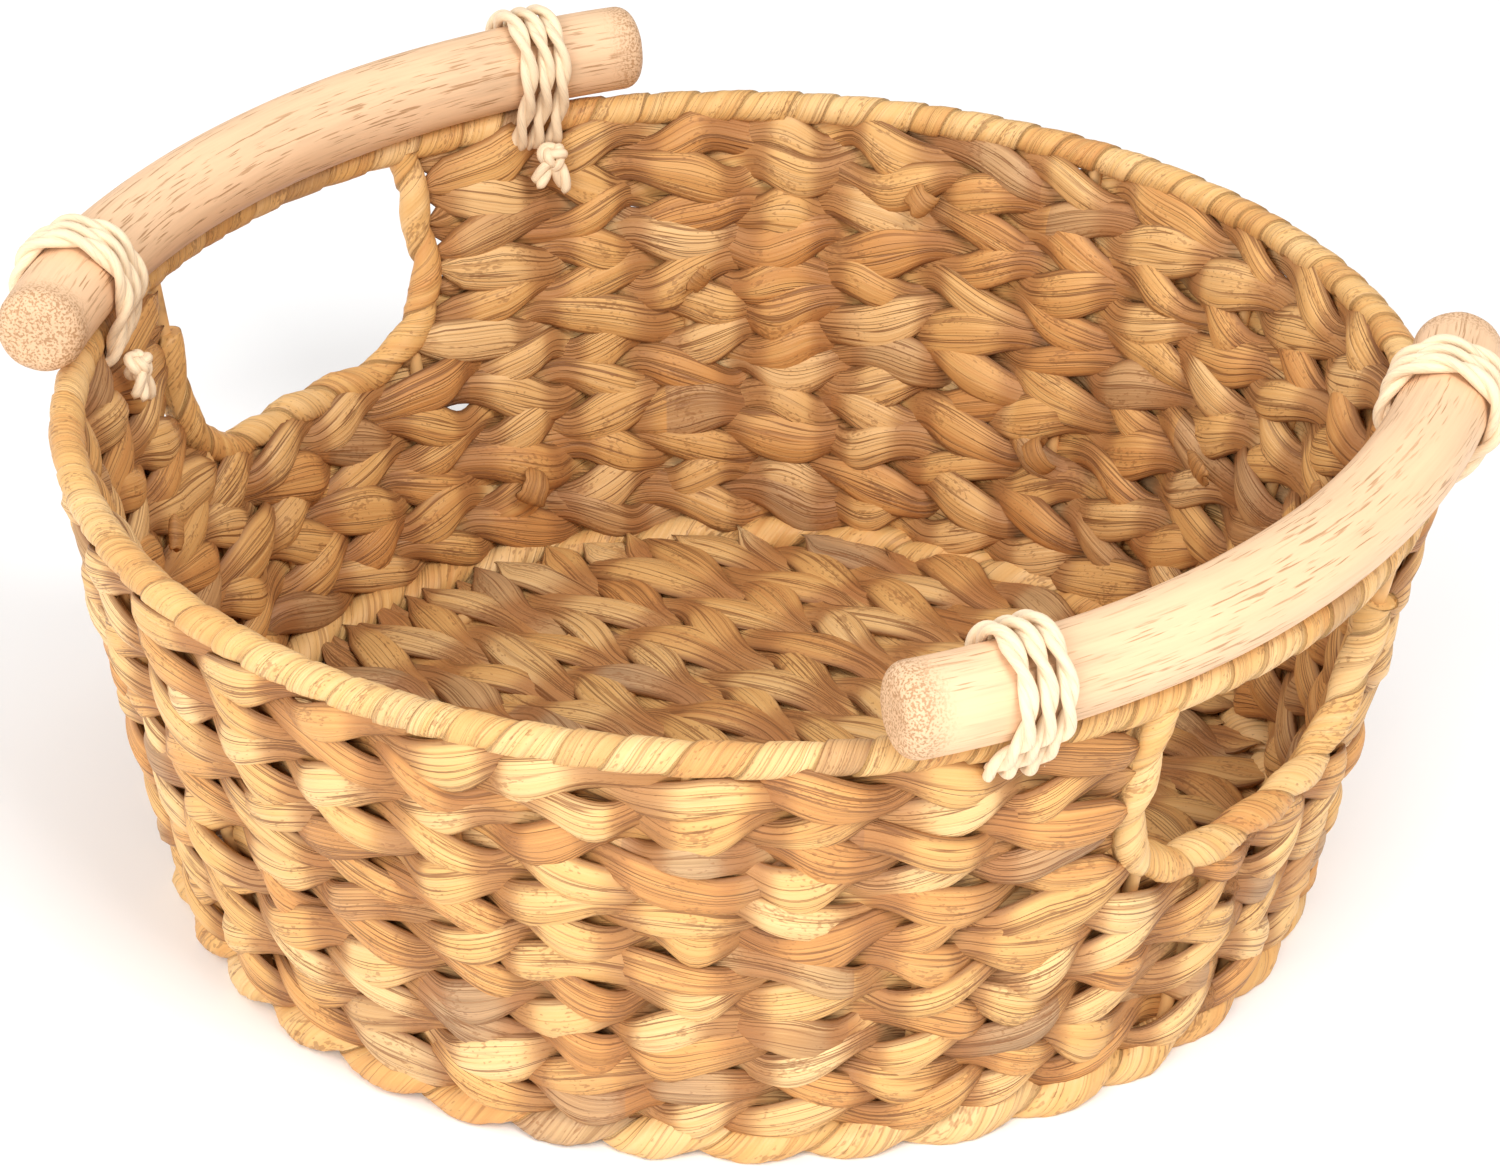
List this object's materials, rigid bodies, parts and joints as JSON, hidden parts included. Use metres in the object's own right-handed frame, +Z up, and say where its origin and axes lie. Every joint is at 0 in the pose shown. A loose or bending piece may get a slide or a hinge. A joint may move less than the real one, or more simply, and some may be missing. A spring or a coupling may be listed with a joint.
{
  "type": "woven basket",
  "caption": "Round tapered basket of twined water hyacinth on a wire frame, with a hand hole under each of two rattan pole handles lashed to the rim with cord.",
  "frame": {"origin": "centre of the basket on the surface that it stands on", "axes": "+Z up through the open top, +X from the middle of the basket towards one handle, +Y along the floor between the handles"},
  "size_m": [0.3674, 0.3586, 0.165],
  "materials": {
    "twined_hyacinth": "dried flat stems, satin, with fine lengthwise wrinkles",
    "floor_hyacinth": "dried flat stems, satin, darker than the wall",
    "wrapped_hyacinth": "one flat strip wound tightly, smooth satin",
    "rattan": "sanded pale rattan cane, matte, with fine dark pores",
    "paper_cord": "twisted cord of two plies, matte",
    "frame_wire": "tan paint, satin"
  },
  "bodies": {
    "root": {"base_hoop": "frame_wire", "base_ring_wrap": "wrapped_hyacinth", "floor_braid_01": "floor_hyacinth", "floor_braid_02": "floor_hyacinth", "floor_braid_03": "floor_hyacinth", "floor_braid_04": "floor_hyacinth", "floor_braid_05": "floor_hyacinth", "floor_braid_06": "floor_hyacinth", "floor_braid_07": "floor_hyacinth", "floor_braid_08": "floor_hyacinth", "floor_braid_09": "floor_hyacinth", "floor_braid_10": "floor_hyacinth", "floor_braid_11": "floor_hyacinth", "floor_braid_12": "floor_hyacinth", "floor_stakes": "frame_wire", "hand_hole_wire_left": "frame_wire", "hand_hole_wire_right": "frame_wire", "hand_hole_wrap_left": "wrapped_hyacinth", "hand_hole_wrap_right": "wrapped_hyacinth", "handle_left": "rattan", "handle_right": "rattan", "lashing_knot_left_back": "paper_cord", "lashing_knot_left_front": "paper_cord", "lashing_knot_right_back": "paper_cord", "lashing_knot_right_front": "paper_cord", "lashing_left_back": "paper_cord", "lashing_left_front": "paper_cord", "lashing_right_back": "paper_cord", "lashing_right_front": "paper_cord", "rim_hoop": "frame_wire", "rim_wrap": "wrapped_hyacinth", "wall_row_01": "twined_hyacinth", "wall_row_02": "twined_hyacinth", "wall_row_03": "twined_hyacinth", "wall_row_04": "twined_hyacinth", "wall_row_05": "twined_hyacinth", "wall_row_06": "twined_hyacinth", "wall_row_07_back": "twined_hyacinth", "wall_row_07_front": "twined_hyacinth", "wall_row_08_back": "twined_hyacinth", "wall_row_08_front": "twined_hyacinth", "wall_row_09_back": "twined_hyacinth", "wall_row_09_front": "twined_hyacinth", "wall_row_10_back": "twined_hyacinth", "wall_row_10_front": "twined_hyacinth", "wall_row_11_back": "twined_hyacinth", "wall_row_11_front": "twined_hyacinth", "wall_row_12_back": "twined_hyacinth", "wall_row_12_front": "twined_hyacinth", "wall_stakes": "frame_wire"}
  },
  "joints": []
}
